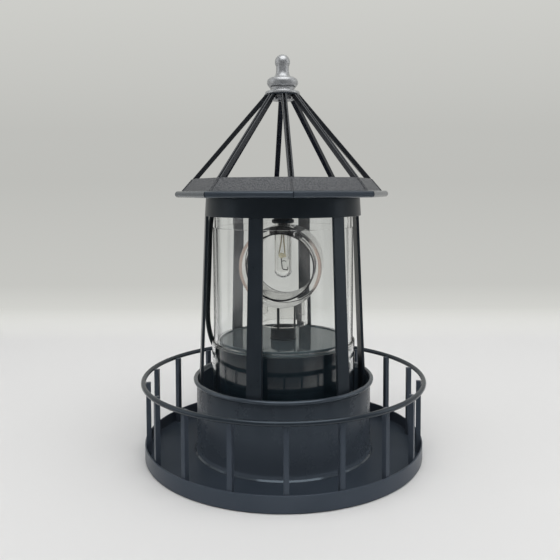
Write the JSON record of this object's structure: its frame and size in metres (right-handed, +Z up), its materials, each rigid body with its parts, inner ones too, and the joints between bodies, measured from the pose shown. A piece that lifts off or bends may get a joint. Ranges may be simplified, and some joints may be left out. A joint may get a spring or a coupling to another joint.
{
  "type": "garden lighthouse ornament",
  "caption": "Solar garden lighthouse lantern: octagonal ribbed roof, ball finial, clear window with a turning lens round a bulb, and a railed round gallery.",
  "frame": {"origin": "centre of the tray's flat underside, on the ground", "axes": "+Z up to the finial, -Y towards the viewer's side, +X to the right seen from that side"},
  "size_m": [0.15, 0.15, 0.21],
  "materials": {
    "black_metal": "satin",
    "textured_metal": "leather-grain satin",
    "clear_plastic": "clear gloss",
    "bulb_glass": "clear gloss",
    "black_plastic": "satin",
    "deck_gloss": "mirror gloss",
    "steel": "bright",
    "brass": "bright",
    "white_plastic": "satin",
    "battery_wrap": "gloss",
    "board_green": "satin",
    "panel_blue": "gloss",
    "cable_rubber": "satin",
    "finial_silver": "satin silver"
  },
  "bodies": {
    "lantern": {"gallery_tray": "black_metal", "handrail": "black_metal", "balusters": "black_metal", "drum": "black_metal", "collar": "black_metal", "roof_cap": "black_metal", "post_1": "black_metal", "post_2": "black_metal", "post_3": "black_metal", "post_4": "black_metal", "post_5": "black_metal", "post_6": "black_metal", "roof_rib_1": "black_metal", "roof_rib_2": "black_metal", "roof_rib_3": "black_metal", "roof_rib_4": "black_metal", "roof_rib_5": "black_metal", "roof_rib_6": "black_metal", "roof_rib_7": "black_metal", "roof_rib_8": "black_metal", "roof_skirt": "textured_metal", "clear_tube": "clear_plastic", "bulb_glass": "bulb_glass", "lamp_plate": "black_plastic", "housing_cup": "black_plastic", "battery_door": "black_plastic", "switch_body": "black_plastic", "panel_tray": "black_plastic", "bulb_socket": "black_plastic", "housing_deck": "deck_gloss", "drum_screws": "steel", "housing_screws": "steel", "door_screw": "steel", "board_screws": "steel", "movement_screws": "steel", "roof_screws": "steel", "finial_screw": "steel", "spring_contact": "steel", "button_contact": "steel", "motor": "steel", "idler_pin": "steel", "movement_plate": "steel", "deck_bush": "brass", "bulb_leads": "brass", "battery": "battery_wrap", "circuit_board": "board_green", "solar_panel": "panel_blue", "solar_cable": "cable_rubber", "finial": "finial_silver"},
    "lens_rotor": {"lens": "clear_plastic", "coupling_knob": "black_plastic", "output_shaft": "steel", "output_gear": "white_plastic"},
    "idler": {"idler_gear": "white_plastic"},
    "motor_rotor": {"motor_shaft": "steel", "motor_pinion": "brass"},
    "switch": {"switch_slider": "white_plastic"}
  },
  "joints": [
    {"name": "lens_spin", "type": "hinge", "parent": "lantern", "child": "lens_rotor", "pos_m": [0, 0, 0.0951], "axis": [0, 0, 1], "continuous": true},
    {"name": "idler_spin", "type": "hinge", "parent": "lantern", "child": "idler", "pos_m": [0, 0.0125, 0.053], "axis": [0, 0, 1], "continuous": true},
    {"name": "motor_spin", "type": "hinge", "parent": "lantern", "child": "motor_rotor", "pos_m": [0.0125, 0.0125, 0.053], "axis": [0, 0, 1], "continuous": true},
    {"name": "switch_slide", "type": "slide", "parent": "lantern", "child": "switch", "axis": [1, 0, 0], "range_m": [0, 0.002]}
  ],
  "couplings": [
    {"joint": "idler_spin", "follows": "lens_spin", "ratio": -4},
    {"joint": "motor_spin", "follows": "lens_spin", "ratio": 16}
  ]
}
